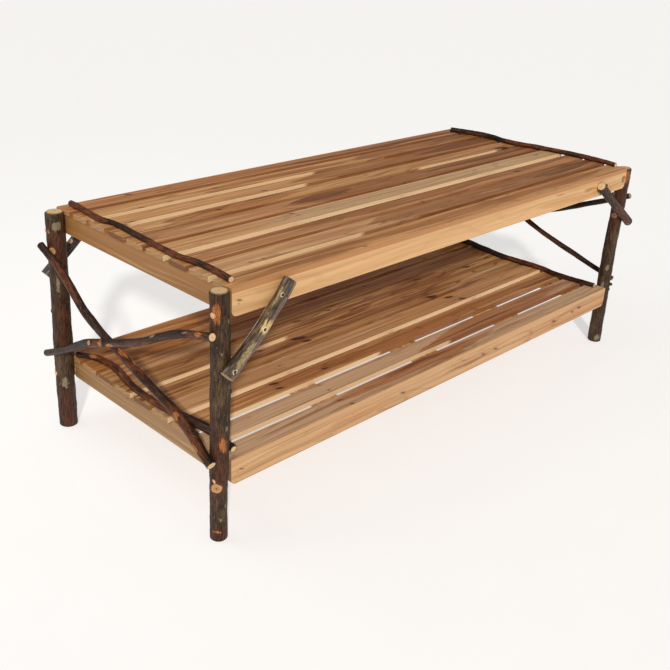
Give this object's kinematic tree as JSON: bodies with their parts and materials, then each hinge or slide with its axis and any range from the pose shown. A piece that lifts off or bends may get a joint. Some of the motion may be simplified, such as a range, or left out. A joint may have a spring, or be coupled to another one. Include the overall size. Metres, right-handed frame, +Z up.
{
  "type": "rustic hickory table",
  "caption": "Low rustic table with bark-covered pole legs, a slatted top and shelf, crossed branch braces at the ends and diagonal branch braces under the top.",
  "frame": {"origin": "on the floor under the middle of the table top frame", "axes": "+X along the length to the right, -Y to the front, +Z up"},
  "size_m": [1.3055, 0.574, 0.4701],
  "materials": {
    "leg_bark": "rough bark, clear coat",
    "smooth_bark": "thin smooth bark, clear coat",
    "dark_bark": "dark bark, clear coat",
    "slat_wood": "satin clear coat",
    "rail_wood": "satin clear coat",
    "plug_wood": "satin clear coat",
    "nail_steel": "plain steel wire"
  },
  "bodies": {
    "root": {"end_brace_left_crossing": "dark_bark", "end_brace_left_forked": "dark_bark", "end_brace_nails": "nail_steel", "end_brace_right_crossing": "dark_bark", "end_brace_right_lower": "dark_bark", "knee_brace_back_left": "smooth_bark", "knee_brace_back_right": "smooth_bark", "knee_brace_front_left": "smooth_bark", "knee_brace_front_right": "smooth_bark", "knee_brace_nails": "nail_steel", "leg_back_left": "leg_bark", "leg_back_right": "leg_bark", "leg_front_left": "leg_bark", "leg_front_right": "leg_bark", "leg_plugs": "plug_wood", "leg_screws": "nail_steel", "shelf_batten_left": "rail_wood", "shelf_batten_middle": "rail_wood", "shelf_batten_right": "rail_wood", "shelf_rail_back": "rail_wood", "shelf_rail_front": "rail_wood", "shelf_rail_left": "rail_wood", "shelf_rail_nails": "nail_steel", "shelf_rail_right": "rail_wood", "shelf_slat_1": "slat_wood", "shelf_slat_2": "slat_wood", "shelf_slat_3": "slat_wood", "shelf_slat_4": "slat_wood", "shelf_slat_5": "slat_wood", "shelf_slat_6": "slat_wood", "shelf_slat_7": "slat_wood", "shelf_slat_8": "slat_wood", "shelf_slat_9": "slat_wood", "shelf_slat_brads": "nail_steel", "shelf_trim_left": "dark_bark", "shelf_trim_right": "dark_bark", "top_batten_left": "rail_wood", "top_batten_middle": "rail_wood", "top_batten_right": "rail_wood", "top_rail_back": "rail_wood", "top_rail_front": "rail_wood", "top_rail_left": "rail_wood", "top_rail_nails": "nail_steel", "top_rail_right": "rail_wood", "top_slat_1": "slat_wood", "top_slat_2": "slat_wood", "top_slat_3": "slat_wood", "top_slat_4": "slat_wood", "top_slat_5": "slat_wood", "top_slat_6": "slat_wood", "top_slat_7": "slat_wood", "top_slat_8": "slat_wood", "top_slat_9": "slat_wood", "top_trim_left": "dark_bark", "top_trim_right": "dark_bark", "trim_nails": "nail_steel"}
  },
  "joints": []
}
